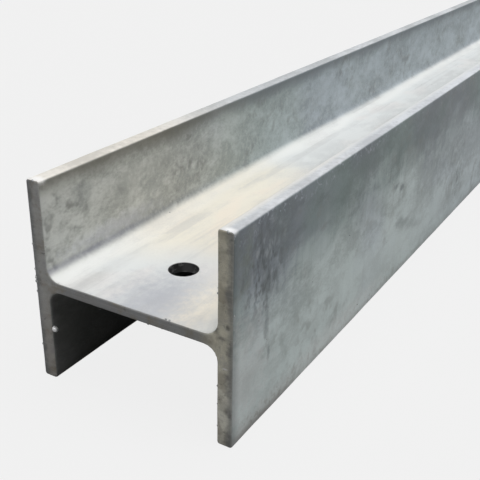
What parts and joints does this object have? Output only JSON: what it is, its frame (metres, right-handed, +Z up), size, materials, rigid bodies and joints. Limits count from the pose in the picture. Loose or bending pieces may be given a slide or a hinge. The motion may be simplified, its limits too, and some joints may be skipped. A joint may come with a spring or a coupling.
{
  "type": "steel h-beam",
  "caption": "Galvanised steel H-beam: wide flanges joined by a filleted web, sawn to length, with a bolt hole through the web near one end.",
  "frame": {"origin": "on the floor, under the middle of the beam", "axes": "+X along the beam, away from the drilled end; +Y across the section, from one flange to the other; +Z up, along the flanges"},
  "size_m": [1.8, 0.162, 0.154],
  "materials": {
    "zinc": "hot-dip galvanised: matt, mottled grey zinc over rolled steel"
  },
  "bodies": {
    "root": {"h_beam": "zinc"}
  },
  "joints": []
}
